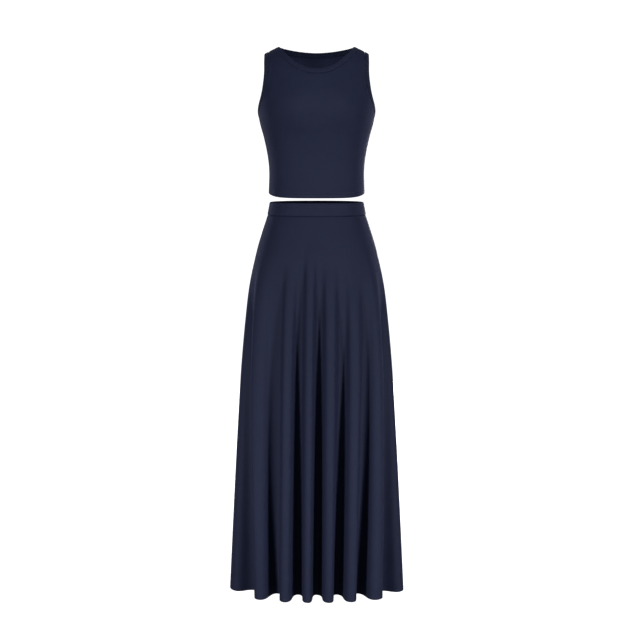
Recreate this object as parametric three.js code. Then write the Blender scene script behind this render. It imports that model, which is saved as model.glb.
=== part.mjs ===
// Two-piece knit uniform: a sleeveless crop top and a full-length flared skirt.
// Millimetres, +Z up. The front faces -Y and the wearer's left is +X.
// The origin is the centre of the waist opening, level with the waistband's top edge.

import * as THREE from "three";
import { LoftGeometry } from "three/addons/geometries/LoftGeometry.js";
import { mergeVertices } from "three/addons/utils/BufferGeometryUtils.js";

// ---------------------------------------------------------------- driving dimensions

const CLOTH = 1.0; // one layer of the double-knit jersey
const SEAM_GAP = 0.3; // between pieces that touch
const NECKBAND = 13.5; // seam to folded edge
const ARMHOLE_BAND = 12.5;
const BAND_THICK = 2.2; // a band is folded double
const TOP_HEM = 14; // turned-up hem of the top
const SKIRT_HEM = 9; // turned-up hem of the skirt
const ALLOWANCE = 7; // overlocked seam allowance
const ALLOWANCE_THICK = 1.4; // two layers pressed flat
const WAISTBAND = 33; // height of the waistband
const ELASTIC = { height: 27, thick: 1.1 };
const TOP_LABEL = { width: 24, height: 34, thick: 0.4 };
const SKIRT_LABEL = { width: 32, height: 46, thick: 0.4 };
const SQUARENESS = 2.35; // of a level ring round the body: 2 is an ellipse

// The body inside the top, ring by ring from the hem to the shoulder line:
// height, half width, depth in front, depth behind, share of the shoulder slope, share of the hem dip.
// The last ring lies just past the shoulder line, so that the curve rounds over it.
const TOP_RINGS = [
  [22, 121.5, 95, 80, 0, 1],
  [75, 120, 94, 79, 0, 0.6],
  [115, 123.5, 98, 83, 0, 0.25],
  [160, 132.5, 107, 89, 0, 0.05],
  [197, 142.5, 116, 93, 0, 0],
  [232, 149, 119, 96, 0, 0],
  [265, 151, 114, 97, 0.1, 0],
  [295, 154, 101, 94, 0.3, 0],
  [321, 156, 83, 87, 0.55, 0],
  [342, 157, 64, 74, 0.8, 0],
  [357, 157, 43, 54, 0.95, 0],
  [366, 157, 21, 28, 1, 0],
  [369, 157, 0, 0, 1, 0],
  [366, 157, -21, -28, 1, 0],
];
const TOP_LAST = TOP_RINGS.length - 2; // the shoulder line
const HEM_DIP = { front: 10.5, back: 7 }; // the top's hem hangs lower in the middle
const SHOULDER = { tip: 133, rise: 36, power: 2.2 }; // the line rises from the tip to the neck
const BUST = { x: 68, z: 236, wide: 38, tall: 36, proud: 11 };
const NECK = { half: 106, frontDrop: 65, backDrop: 15, frontPower: 2.2, backPower: 1.8 };
const ARMHOLE = { bottom: 212, straight: 334, power: 1.8, half: 121 };

// The skirt, ring by ring from the hem to the waistband's top edge:
// height, half width, depth in front, depth behind.
const SKIRT_RINGS = [
  [-1016, 204, 112, 124],
  [-800, 198, 113, 125],
  [-600, 192, 114, 126],
  [-430, 186, 115, 126],
  [-300, 178, 114, 124],
  [-210, 169.5, 112, 121],
  [-130, 154, 108, 113],
  [-80, 139.5, 103, 104],
  [-33, 124.5, 96, 92],
  [0, 118, 93, 88],
];
const SKIRT_LAST = SKIRT_RINGS.length - 1;
const WAIST_SEAM = SKIRT_LAST - 1; // the ring where the panels meet the waistband
const HIPS = -120; // the folds fan out from here to the hem
const FOLD_GROWTH = { front: 0.5, side: 0.85 }; // how the folds deepen towards the hem
const FOLD_SOFT = 0.07; // and how gently they begin
const FOLD_ROUND = 0.85; // folds are round at their crests and steep at their sides

// The folds, once round from behind the right side by the front: degrees from the centre front
// at the hip and at the hem, how far the cloth stands out (+) or in (-) at the hem, and the
// height where it begins.
const FOLDS = [
  [-98, -100, -26, -120],
  [-84, -79, 28, -120],
  [-68, -51, -30, -170],
  [-57, -40, 32, -135],
  [-31, -31, -32, -135],
  [-23, -21.5, 32, -175],
  [-13, -14.3, -32, -135],
  [-5.5, -6, 32, -105],
  [3, -0.6, -32, -135],
  [11, 9, 32, -160],
  [23, 14.8, -32, -140],
  [32, 24, 32, -190],
  [44, 31.7, -32, -190],
  [56, 41.5, 32, -135],
  [70, 57, -30, -160],
  [84, 79, 28, -120],
  [98, 101, -26, -120],
  [111, 112, 30, -150],
  [122, 123, -31, -120],
  [133, 134, 32, -140],
  [145, 145, -31, -110],
  [156, 157, 31, -140],
  [168, 168.5, -32, -120],
  [179, 179, 32, -150],
  [190, 191, -31, -110],
  [202, 202, 31, -140],
  [214, 213.5, -32, -150],
  [226, 225, 31, -120],
  [238, 237, -31, -140],
  [250, 248, 30, -120],
];
const LEFT_DROP = 6; // the hem hangs a little lower at the wearer's left
// The side seams run half way between a ridge and a valley.
const RIGHT_SEAM = 0.5;
const LEFT_SEAM = 15.5;

// How finely each piece is cut.
const STEPS = {
  fold: 4, // columns from one fold to the next
  skirtRows: 18,
  neckColumns: 16,
  shoulderColumns: 2,
  sideRows: 4,
  armholeRows: 10,
  waist: 32, // round the waistband
};

// ---------------------------------------------------------------- small maths

const radians = THREE.MathUtils.degToRad;
const clamp01 = (x) => THREE.MathUtils.clamp(x, 0, 1);
const range = (count, of) => Array.from({ length: count }, (_, i) => of(i));

// A row of a table of rings at s, which is 0 at the first ring and 1 at the second: Catmull-Rom.
function ringAt(rings, s) {
  const i = THREE.MathUtils.clamp(Math.floor(s), 0, rings.length - 2);
  const f = s - i;
  const [b, c] = [rings[i], rings[i + 1]];
  const a = rings[i - 1] ?? b.map((value, k) => 2 * value - c[k]);
  const d = rings[i + 2] ?? c.map((value, k) => 2 * value - b[k]);
  return b.map((value, k) => {
    const start = (c[k] - a[k]) / 2;
    const end = (d[k] - value) / 2;
    const gap = c[k] - value;
    return value + f * (start + f * (3 * gap - 2 * start - end + f * (start + end - 2 * gap)));
  });
}

// A point of a level ring, turn radians from the centre front towards the wearer's left.
function onRing(turn, halfWidth, front, back) {
  const [s, c] = [Math.sin(turn), Math.cos(turn)];
  const reach = (Math.abs(s) ** SQUARENESS + Math.abs(c) ** SQUARENESS) ** (-1 / SQUARENESS);
  return [halfWidth * s * reach, -(c > 0 ? front : back) * c * reach];
}

// The turn at which a ring is a given share of its half width from the middle.
function turnAt(share) {
  const depth = (1 - share ** SQUARENESS) ** (1 / SQUARENESS);
  return Math.atan2(share, depth);
}

// Where a rising function crosses zero between low and high.
function solve(rising, low, high) {
  for (let i = 0; i < 40; i++) {
    const middle = (low + high) / 2;
    if (rising(middle) < 0) low = middle;
    else high = middle;
  }
  return (low + high) / 2;
}

// ---------------------------------------------------------------- surfaces of the cloth

// The inner face of the top's cloth: turn round the body, s up the rings.
function topSurface(turn, s) {
  const [height, halfWidth, front, back, slope, hem] = ringAt(TOP_RINGS, s);
  let [x, y] = onRing(turn, halfWidth, front, back);
  const facing = Math.cos(turn);
  const dip = facing > 0 ? HEM_DIP.front : HEM_DIP.back;
  const rise = SHOULDER.rise * (1 - (Math.abs(x) / SHOULDER.tip) ** SHOULDER.power);
  const z = height + slope * rise - hem * dip * (1 - (1 - facing ** 2) ** 3);
  if (facing > 0) {
    const up = ((z - BUST.z) / BUST.tall) ** 2;
    const mound = (side) => Math.exp(-(((x - side * BUST.x) / BUST.wide) ** 2 + up) / 2);
    y -= BUST.proud * facing * (mound(-1) + mound(1));
  }
  return new THREE.Vector3(x, y, z);
}

// The waistband's ring: turn round the body, s up the skirt's rings.
function waistSurface(turn, s) {
  const [height, halfWidth, front, back] = ringAt(SKIRT_RINGS, s);
  return new THREE.Vector3(...onRing(turn, halfWidth, front, back), height);
}

// How much of its depth a fold has at a height. Folds at the front and back deepen sooner.
function foldDepth([, hem, , start], height) {
  const left = 1 - clamp01((height - SKIRT_RINGS[0][0]) / (start - SKIRT_RINGS[0][0]));
  const { front, side } = FOLD_GROWTH;
  const growth = THREE.MathUtils.lerp(front, side, Math.sin(radians(hem)) ** 2);
  return (left ** 2 / (left + FOLD_SOFT)) ** growth;
}

// The inner face of the skirt's cloth: fold counts round the skirt, s up the rings.
function skirtSurface(fold, s) {
  const [height, halfWidth, front, back] = ringAt(SKIRT_RINGS, s);
  const lap = Math.floor(fold / FOLDS.length);
  const at = fold - lap * FOLDS.length;
  const i = Math.floor(at);
  const near = FOLDS[i];
  const next = FOLDS[(i + 1) % FOLDS.length];
  const wrap = i + 1 < FOLDS.length ? 0 : 360;
  const down = clamp01((height - SKIRT_RINGS[0][0]) / (HIPS - SKIRT_RINGS[0][0]));
  const depths = [foldDepth(near, height), foldDepth(next, height)];
  const depth = THREE.MathUtils.lerp(...depths, at - i);
  const angle = (row, turns) => THREE.MathUtils.lerp(row[1], row[0], down) + turns;
  const round = FOLD_ROUND * Math.sqrt(depth);
  const spread = at - i + (round * Math.sin(2 * Math.PI * (at - i))) / (2 * Math.PI);
  const turn = radians(THREE.MathUtils.lerp(angle(near, 0), angle(next, wrap), spread) + 360 * lap);
  const ease = (1 - Math.cos(Math.PI * (at - i))) / 2;
  const out = THREE.MathUtils.lerp(near[2] * depths[0], next[2] * depths[1], ease);
  const drop = LEFT_DROP * ((1 - down) * Math.max(0, Math.sin(turn)) ** 2) ** 2;
  const [x, y] = onRing(turn, halfWidth, front, back);
  const [x2, y2] = onRing(turn + 1e-3, halfWidth, front, back);
  const away = new THREE.Vector3(y2 - y, x - x2, 0).normalize();
  return new THREE.Vector3(x, y, height - drop).addScaledVector(away, out);
}

// The point, outward normal and two tangents of a surface.
function frameOf(surface, u, v) {
  const step = 1e-4;
  const point = surface(u, v);
  const along = surface(u + step, v).sub(surface(u - step, v)).divideScalar(2 * step);
  const up = surface(u, v + step).sub(surface(u, v - step)).divideScalar(2 * step);
  const normal = new THREE.Vector3().crossVectors(along, up).normalize();
  return { point, normal, along, up };
}

// A point of the surface, lifted off it along its normal.
function lifted(surface, u, v, lift) {
  const { point, normal } = frameOf(surface, u, v);
  return point.addScaledVector(normal, lift);
}

// Walks a distance over the surface from (u, v), starting in a direction, and gives the new (u, v).
function walk(surface, [u, v], direction, distance) {
  const paces = Math.max(1, Math.ceil(Math.abs(distance) / 3));
  const pace = distance / paces;
  const heading = direction.clone();
  for (let i = 0; i < paces; i++) {
    const { normal, along, up } = frameOf(surface, u, v);
    heading.addScaledVector(normal, -heading.dot(normal)).normalize();
    const [aa, ab, bb] = [along.dot(along), along.dot(up), up.dot(up)];
    const [ha, hb] = [heading.dot(along) * pace, heading.dot(up) * pace];
    const det = aa * bb - ab * ab;
    u += (ha * bb - hb * ab) / det;
    v += (hb * aa - ha * ab) / det;
  }
  return [u, v];
}

// ---------------------------------------------------------------- closed solids

// Lofts through the sections, welds the shared points and drops the faces that have no area.
function solid(sections, isCapped) {
  const loft = new LoftGeometry(sections, { capStart: isCapped, capEnd: isCapped });
  const bare = new THREE.BufferGeometry().copy(loft);
  bare.deleteAttribute("normal");
  bare.deleteAttribute("uv");
  const merged = mergeVertices(bare, 1e-3);
  const index = [];
  for (let i = 0; i < merged.index.count; i += 3) {
    const face = [0, 1, 2].map((k) => merged.index.getX(i + k));
    if (new Set(face).size === 3) index.push(...face);
  }
  merged.setIndex(index);
  merged.computeVertexNormals();
  return merged;
}

// A layer of cloth between two lifts of a surface, from rows of (u, v) places.
function layer(surface, rows, inside, outside) {
  const middle = (inside + outside) / 2;
  const rim = (row) => {
    const points = row.map(([u, v]) => lifted(surface, u, v, middle));
    return [...points, ...points.map((p) => p.clone()).reverse()];
  };
  const section = (row) => [
    ...row.map(([u, v]) => lifted(surface, u, v, outside)),
    ...row.map(([u, v]) => lifted(surface, u, v, inside)).reverse(),
  ];
  return solid([rim(rows[0]), ...rows.map(section), rim(rows.at(-1))], false);
}

// A ring or a strip with one section all along: each section point is [distance across, lift].
// stations are { at: [u, v], across: direction }, and a ring's last station meets its first.
function strip(surface, stations, section, isRing) {
  const sections = stations.map(({ at, across }) =>
    section.map(([distance, lift]) => lifted(surface, ...walk(surface, at, across, distance), lift)),
  );
  if (isRing) sections.push(sections[0].map((p) => p.clone()));
  return solid(sections, !isRing);
}

// The stations of a closed seam line: across points to the left of the way round.
function seamStations(surface, line) {
  const points = line.map(([u, v]) => surface(u, v));
  return line.map((at, i) => {
    const ahead = points[(i + 1) % points.length];
    const behind = points.at(i - 1);
    const onward = new THREE.Vector3().subVectors(ahead, behind);
    const { normal } = frameOf(surface, ...at);
    return { at, across: new THREE.Vector3().crossVectors(normal, onward).normalize() };
  });
}

// The section of a flat strip from one distance to another, between two lifts.
const flatSection = (from, to, inside, outside) => [
  [from, inside],
  [to, inside],
  [to, outside],
  [from, outside],
];

// A band folded over its free edge.
const bandSection = (width) => [
  [SEAM_GAP, -0.5],
  [width - 1, -0.5],
  [width, BAND_THICK / 2 - 0.5],
  [width - 1, BAND_THICK - 0.5],
  [SEAM_GAP, BAND_THICK - 0.5],
];
// Seam allowances and turned-up hems lie inside.
const insideSection = (from, to, thick, clear = 0.5) =>
  flatSection(from, to, -clear - thick, -clear);

// ---------------------------------------------------------------- the top's outlines

const SHOULDER_HEIGHT = TOP_RINGS[TOP_LAST][0];
const SHOULDER_HALF = TOP_RINGS[TOP_LAST][1];
const ARM_TURN = turnAt(ARMHOLE.half / SHOULDER_HALF); // where the shoulder seam meets the armhole
const NECK_TURN = turnAt(NECK.half / SHOULDER_HALF); // where it meets the neck
const ARM_BOTTOM = solve((s) => ringAt(TOP_RINGS, s)[0] - ARMHOLE.bottom, 0, TOP_LAST);

// The turn of the armhole's seam line, up the rings from the underarm.
function armholeTurn(s) {
  const height = ringAt(TOP_RINGS, s)[0];
  const left = 1 - clamp01((height - ARMHOLE.bottom) / (ARMHOLE.straight - ARMHOLE.bottom));
  const round = 1 - (1 - left ** ARMHOLE.power) ** (1 / ARMHOLE.power);
  return ARM_TURN + (Math.PI / 2 - ARM_TURN) * round;
}

// How far up the rings the neck seam is at a turn from the centre front, or centre back.
function neckRing(turn, isFront) {
  const [drop, power] = isFront
    ? [NECK.frontDrop, NECK.frontPower]
    : [NECK.backDrop, NECK.backPower];
  if (Math.abs(turn) >= NECK_TURN) return TOP_LAST;
  const neckPoint = topSurface(NECK_TURN, TOP_LAST).z;
  const above = (s) => {
    const { x, z } = topSurface(isFront ? turn : Math.PI - turn, s);
    return z - neckPoint + drop * (1 - (Math.abs(x) / NECK.half) ** power);
  };
  return solve(above, ARM_BOTTOM, TOP_LAST);
}

// Rings of the armhole, close together at the underarm and at the shoulder.
const ARMHOLE_RINGS = range(STEPS.armholeRows + 1, (i) => {
  const eased = (1 - Math.cos((Math.PI * i) / STEPS.armholeRows)) / 2;
  return THREE.MathUtils.lerp(ARM_BOTTOM, TOP_LAST, eased);
});
const SIDE_RINGS = range(STEPS.sideRows, (i) => (ARM_BOTTOM * i) / STEPS.sideRows);

// Turns of the neck's seam line, closer together towards the shoulders.
const NECK_TURNS = range(STEPS.neckColumns + 1, (i) => {
  return NECK_TURN * Math.sin(Math.PI * (i / STEPS.neckColumns - 0.5));
});

// ---------------------------------------------------------------- pieces of the top

// Columns of a panel of the top, as shares of the way from its middle to its side.
function topColumns() {
  const { shoulderColumns } = STEPS;
  const neckShare = NECK_TURN / ARM_TURN;
  const left = range(shoulderColumns, (i) => neckShare + ((1 - neckShare) * (i + 1)) / shoulderColumns);
  const neck = NECK_TURNS.map((turn) => turn / ARM_TURN);
  return [...left.map((share) => -share).reverse(), ...neck, ...left];
}

// Rows of places on one panel of the top, from the hem to the neck and shoulders.
function topPanelRows(isFront) {
  const shares = topColumns();
  const halfGap = SEAM_GAP / 2;
  return [...SIDE_RINGS, ...ARMHOLE_RINGS].map((ring) => {
    const edge = armholeTurn(ring) - SEAM_GAP / SHOULDER_HALF;
    const up = clamp01((ring - ARM_BOTTOM + 1.5) / (TOP_LAST - ARM_BOTTOM + 1.5));
    const middle = THREE.MathUtils.lerp(Math.PI / 2, ARM_TURN, up * up * (3 - 2 * up));
    return shares.map((share) => {
      const top = neckRing(share * ARM_TURN, isFront);
      const squeeze = (top - ARM_BOTTOM) / (TOP_LAST - ARM_BOTTOM);
      const s = ring < ARM_BOTTOM ? ring : ARM_BOTTOM + (ring - ARM_BOTTOM) * squeeze;
      const gap = (halfGap / 20) * (ring / TOP_LAST) ** 8; // near the top a ring is 20 mm of cloth
      const turn = share * (edge + ((middle - edge) * (1 - share ** 2)) / 2);
      return [(isFront ? 0 : Math.PI) + turn, s - gap];
    });
  });
}

const topPanel = (isFront) => layer(topSurface, topPanelRows(isFront), 0, CLOTH);

// The neck's seam line: across the front to the wearer's left, then back behind.
function neckLine() {
  const turns = NECK_TURNS.slice(0, -1);
  return [
    ...turns.map((turn) => [turn, neckRing(turn, true)]),
    ...turns.map((turn) => [Math.PI + turn, neckRing(turn, false)]),
  ];
}

// The left armhole's seam line: up the back from the underarm, over the shoulder, down the front.
function armholeLine() {
  const back = ARMHOLE_RINGS.map((s) => [Math.PI - armholeTurn(s), s]);
  const front = ARMHOLE_RINGS.map((s) => [armholeTurn(s), s]);
  return [...back, ...front.slice(1, -1).reverse()];
}

const neckBand = () =>
  strip(topSurface, seamStations(topSurface, neckLine()), bandSection(NECKBAND), true);
const armholeBand = () =>
  strip(topSurface, seamStations(topSurface, armholeLine()), bandSection(ARMHOLE_BAND), true);

function topHem() {
  const quarter = Math.PI / 2;
  const half = topColumns().slice(0, -1).map((share) => quarter * share);
  const line = [...half, ...half.map((turn) => Math.PI + turn)].map((turn) => [turn, 0]);
  const section = insideSection(0, TOP_HEM, CLOTH);
  return strip(topSurface, seamStations(topSurface, line), section, true);
}

// The overlocked allowances of the left side seam, pressed to the back.
function topSideSeam() {
  const start = walk(topSurface, [Math.PI / 2, 0], new THREE.Vector3(0, 0, 1), TOP_HEM + 1)[1];
  const rings = [start, ...SIDE_RINGS.slice(1), ARM_BOTTOM - 0.05];
  const stations = rings.map((s) => ({ at: [Math.PI / 2, s], across: new THREE.Vector3(0, 1, 0) }));
  const section = insideSection(0, ALLOWANCE, ALLOWANCE_THICK);
  return strip(topSurface, stations.reverse(), section, false);
}

// The overlocked allowances of the left shoulder seam, pressed to the back.
function shoulderSeam() {
  const stations = range(3, (i) => ({
    at: [Math.PI - THREE.MathUtils.lerp(NECK_TURN + 0.01, ARM_TURN - 0.01, i / 2), TOP_LAST],
    across: new THREE.Vector3(0, 1, 0),
  }));
  return strip(topSurface, stations, insideSection(0, ALLOWANCE - 1, ALLOWANCE_THICK), false);
}

// ---------------------------------------------------------------- pieces of the skirt

// Rings of the skirt's cloth, from the hem to the waist seam.
const SKIRT_ROWS = range(STEPS.skirtRows + 1, (i) => (WAIST_SEAM * i) / STEPS.skirtRows);

// One panel of the skirt, from one side seam to the other.
function skirtPanel(from, to) {
  const edge = 0.005; // of a fold: leaves half of a seam's gap
  const columns = range((to - from) * STEPS.fold + 1, (i) => from + i / STEPS.fold);
  columns[0] += edge;
  columns[columns.length - 1] -= edge;
  const rings = [...SKIRT_ROWS];
  rings[rings.length - 1] -= SEAM_GAP / 47; // the rings here are 47 mm apart
  return layer(skirtSurface, rings.map((s) => columns.map((fold) => [fold, s])), 0, CLOTH);
}

// A ring round the skirt with one section all along, a share of a fold between stations.
function skirtRing(s, step, section) {
  const stations = range(FOLDS.length / step, (i) => ({
    at: [RIGHT_SEAM + i * step, s],
    across: new THREE.Vector3(0, 0, 1),
  }));
  return strip(skirtSurface, stations, section, true);
}

const skirtHem = () => skirtRing(0, 1 / STEPS.fold, insideSection(0, SKIRT_HEM, CLOTH));
const waistSeam = () => skirtRing(WAIST_SEAM, 0.5, insideSection(-ALLOWANCE, -SEAM_GAP, 1.8));

// The overlocked allowances of a side seam, pressed to the back.
function skirtSideSeam(fold, isLeft) {
  const bottom = 0.06; // above the turned-up hem
  const top = WAIST_SEAM - 0.2; // below the waist seam's own allowances
  const stations = [bottom, ...SKIRT_ROWS.slice(1, -1), top].map((s) => ({
    at: [fold, s],
    across: new THREE.Vector3(0, 1, 0),
  }));
  const section = insideSection(0, ALLOWANCE, ALLOWANCE_THICK, 1.4);
  return strip(skirtSurface, isLeft ? stations.reverse() : stations, section, false);
}

const waistStations = (from, to, count) =>
  range(count, (i) => ({
    at: [THREE.MathUtils.lerp(from, to, i / (count - 1)), WAIST_SEAM],
    across: new THREE.Vector3(0, 0, 1),
  }));

// Half of the waistband: cloth folded over its top edge, open below for the elastic.
function waistbandHalf(from, to) {
  const section = [
    [0, 1.2],
    [WAISTBAND - 2.4, 1.2],
    [WAISTBAND - 1.5, 0.2],
    [WAISTBAND - 2.4, -0.8],
    [0, -0.8],
    [0, -1.8],
    [WAISTBAND - 1.6, -1.8],
    [WAISTBAND - 0.4, -1.1],
    [WAISTBAND, 0.2],
    [WAISTBAND - 0.4, 1.5],
    [WAISTBAND - 1.6, 2.2],
    [0, 2.2],
  ];
  const gap = SEAM_GAP / 2 / SKIRT_RINGS[WAIST_SEAM][1];
  const stations = waistStations(from + gap, to - gap, STEPS.waist / 2 + 1);
  return strip(waistSurface, stations, section, false);
}

function elastic() {
  const half = ELASTIC.thick / 2;
  const section = flatSection(2, 2 + ELASTIC.height, 0.2 - half, 0.2 + half);
  const stations = waistStations(-Math.PI / 2, 1.5 * Math.PI, STEPS.waist + 1).slice(0, -1);
  return strip(waistSurface, stations, section, true);
}

// ---------------------------------------------------------------- assembly

const navy = { roughness: 0.62, metalness: 0 };
const MATERIALS = {
  jersey: new THREE.MeshStandardMaterial({ color: "#232742", ...navy }),
  rib: new THREE.MeshStandardMaterial({ color: "#20243c", ...navy }),
  elastic: new THREE.MeshStandardMaterial({ color: "#15161f", roughness: 0.8, metalness: 0 }),
  label: new THREE.MeshStandardMaterial({ color: "#e9e7e2", roughness: 0.45, metalness: 0 }),
};

function piece(name, geometry, material, isMirrored = false) {
  const mesh = new THREE.Mesh(geometry, MATERIALS[material]);
  mesh.name = name;
  if (isMirrored) mesh.scale.x = -1;
  return mesh;
}

// The top: panels, folded bands, turned-up hem, inside seams and care label.
function cropTop() {
  const top = new THREE.Group();
  top.add(
    piece("top_front_panel", topPanel(true), "jersey"),
    piece("top_back_panel", topPanel(false), "jersey"),
    piece("neckband", neckBand(), "rib"),
    piece("top_hem_turnup", topHem(), "jersey"),
  );
  for (const side of ["left", "right"]) {
    const isRight = side === "right";
    top.add(
      piece(`${side}_armhole_band`, armholeBand(), "rib", isRight),
      piece(`top_${side}_side_seam`, topSideSeam(), "jersey", isRight),
      piece(`top_${side}_shoulder_seam`, shoulderSeam(), "jersey", isRight),
    );
  }
  top.add(topLabel());
  return top;
}

// The care label, sewn into the left side seam by one edge and lying towards the back.
function topLabel() {
  const { width, height, thick } = TOP_LABEL;
  const box = new THREE.BoxGeometry(thick, width, height).translate(0, width / 2, 0);
  const label = piece("top_care_label", box, "label");
  const seam = topSurface(Math.PI / 2, 1.2);
  label.position.set(seam.x - ALLOWANCE_THICK - 2, 0, seam.z);
  label.rotation.z = radians(22);
  return label;
}

// The skirt: panels, waistband with its elastic, hem, inside seams and care label.
function longSkirt() {
  const skirt = new THREE.Group();
  const quarter = Math.PI / 2;
  skirt.add(
    piece("skirt_front_panel", skirtPanel(RIGHT_SEAM, LEFT_SEAM), "jersey"),
    piece("skirt_back_panel", skirtPanel(LEFT_SEAM, FOLDS.length + RIGHT_SEAM), "jersey"),
    piece("skirt_hem_turnup", skirtHem(), "jersey"),
    piece("skirt_left_side_seam", skirtSideSeam(LEFT_SEAM, true), "jersey"),
    piece("skirt_right_side_seam", skirtSideSeam(RIGHT_SEAM, false), "jersey"),
    piece("waistband_front", waistbandHalf(-quarter, quarter), "jersey"),
    piece("waistband_back", waistbandHalf(quarter, 3 * quarter), "jersey"),
    piece("waistband_elastic", elastic(), "elastic"),
    piece("waist_seam", waistSeam(), "jersey"),
    skirtLabel(),
  );
  return skirt;
}

// The care label, sewn into the waist seam at the centre back and hanging from its top edge.
function skirtLabel() {
  const { width, height, thick } = SKIRT_LABEL;
  const box = new THREE.BoxGeometry(width, thick, height).translate(0, 0, -height / 2);
  const label = piece("skirt_care_label", box, "label");
  const [, , , back] = SKIRT_RINGS[WAIST_SEAM];
  label.position.set(0, back - 4, -WAISTBAND - ALLOWANCE - 1);
  return label;
}

const uniform = new THREE.Group();
uniform.add(cropTop(), longSkirt());

export default uniform;
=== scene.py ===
# %% [markdown]
# # A crop top and a long flared skirt
# Two plain knit garments, shown as they hang on a body that is not there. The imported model
# gives the bodies, the joints and the box that everything has to stay in. Each piece below is
# cloth: a smooth surface is written as a formula in millimetres, a fine sheet is laid on it,
# and the sheet then gets the thickness of the jersey.

import math

import bpy
import numpy as np
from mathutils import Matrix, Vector


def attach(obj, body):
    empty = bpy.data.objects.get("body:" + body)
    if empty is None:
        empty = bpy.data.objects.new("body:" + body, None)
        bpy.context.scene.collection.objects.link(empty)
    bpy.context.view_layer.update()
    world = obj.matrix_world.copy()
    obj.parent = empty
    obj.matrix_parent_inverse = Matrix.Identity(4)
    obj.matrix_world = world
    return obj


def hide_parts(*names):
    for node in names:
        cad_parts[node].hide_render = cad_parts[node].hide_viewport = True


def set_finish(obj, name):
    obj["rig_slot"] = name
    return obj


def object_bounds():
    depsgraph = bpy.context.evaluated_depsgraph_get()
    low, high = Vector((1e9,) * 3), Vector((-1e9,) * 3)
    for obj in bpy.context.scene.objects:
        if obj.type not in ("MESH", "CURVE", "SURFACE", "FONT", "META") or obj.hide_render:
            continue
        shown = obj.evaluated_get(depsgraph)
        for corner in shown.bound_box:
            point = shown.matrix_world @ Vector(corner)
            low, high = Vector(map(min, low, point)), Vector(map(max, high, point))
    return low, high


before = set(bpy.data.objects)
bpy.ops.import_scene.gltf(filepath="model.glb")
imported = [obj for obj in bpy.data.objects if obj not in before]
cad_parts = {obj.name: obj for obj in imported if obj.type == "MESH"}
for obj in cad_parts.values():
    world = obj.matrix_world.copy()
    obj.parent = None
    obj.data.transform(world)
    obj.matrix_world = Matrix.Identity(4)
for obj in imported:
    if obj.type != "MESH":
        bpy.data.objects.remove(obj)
CAD_BOX = [list(corner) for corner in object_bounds()]
MM = 0.001


def add_object(name, data):
    """A new object in the scene."""
    made = bpy.data.objects.new(name, data)
    bpy.context.scene.collection.objects.link(made)
    return made


# %% [markdown]
# ## Camera
# A fairly long lens from a little over three metres, tipped down a few degrees, as a shop
# shows clothes on a form. It is made first, because everything is judged through it.

# %% Camera
LENS, SENSOR = 72.15, 36  # millimetres
CAMERA_PLACE = (0.0085, -3.3, 0.113)
CAMERA_AIM = (0.0085, 0, -0.306)
camera_data = bpy.data.cameras.new("camera")
camera_data.lens = LENS
camera_data.sensor_width = SENSOR
camera = add_object("camera", camera_data)
bpy.context.scene.camera = camera
camera.location = CAMERA_PLACE
aim = Vector(CAMERA_AIM) - camera.location
camera.rotation_mode = "QUATERNION"
camera.rotation_quaternion = aim.to_track_quat("-Z", "Y")
print("camera tilt", round(math.degrees(math.asin(aim.normalized().z)), 1), "degrees")

# %% [markdown]
# ## Shape of the body in the top
# The top follows a body that is not there, so the body is described first: level rings from
# the hem to the shoulder line, and a smooth curve through them. A ring is a little squarer
# than an ellipse. The last ring lies past the shoulder line, so the curve rounds over it.

# %% Rings of the top
SQUARENESS = 2.35
# height, half width, depth in front, depth behind, and the shares of the shoulder's slope
# and of the hem's dip that the ring takes
TOP_RINGS = [
    [22, 121.5, 95, 80, 0, 1],
    [75, 120, 94, 79, 0, 0.6],
    [115, 123.5, 98, 83, 0, 0.25],
    [160, 132.5, 107, 89, 0, 0.05],
    [197, 142.5, 116, 93, 0, 0],
    [232, 149, 119, 96, 0, 0],
    [265, 151, 114, 97, 0.1, 0],
    [295, 154, 101, 94, 0.3, 0],
    [321, 156, 83, 87, 0.55, 0],
    [342, 157, 64, 74, 0.8, 0],
    [357, 157, 43, 54, 0.95, 0],
    [366, 157, 21, 28, 1, 0],
    [369, 157, 0, 0, 1, 0],
    [366, 157, -21, -28, 1, 0],
]
TOP_LAST = len(TOP_RINGS) - 2
HEM_DIP = {"front": 10.5, "back": 7}
SHOULDER = {"tip": 133, "rise": 36, "power": 2.2}
BUST = {"x": 68, "z": 236, "wide": 38, "tall": 36, "proud": 11}
RIPPLE = {"height": 0.55, "length": 75}  # of the slack in the top's cloth


def ring_at(rings, s):
    """The rows of a table of rings at s, 0 at the first ring and 1 at the second."""
    table = np.asarray(rings, float)
    padded = np.vstack([2 * table[0] - table[1], table, 2 * table[-1] - table[-2]])
    i = np.clip(np.floor(s).astype(int), 0, len(table) - 2)
    f = (s - i)[..., None]
    a, b, c, d = (padded[i + k] for k in range(4))
    start, end, gap = (c - a) / 2, (d - b) / 2, c - b
    return b + f * (start + f * (3 * gap - 2 * start - end + f * (start + end - 2 * gap)))


def on_ring(turn, half_width, front, back):
    """x and y on a level ring, turn radians from the centre front towards the wearer's left."""
    s, c = np.sin(turn), np.cos(turn)
    reach = (np.abs(s) ** SQUARENESS + np.abs(c) ** SQUARENESS) ** (-1 / SQUARENESS)
    return half_width * s * reach, -np.where(c > 0, front, back) * c * reach


print(len(TOP_RINGS), "rings from", TOP_RINGS[0][0], "to", TOP_RINGS[TOP_LAST][0], "mm")

# %% [markdown]
# A knit that has been worn and hung is never quite smooth. A few long, shallow waves, less
# than a millimetre high, break up the light as real cloth does. They are sums of sines with
# fixed phases, so they come out the same each time.


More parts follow.
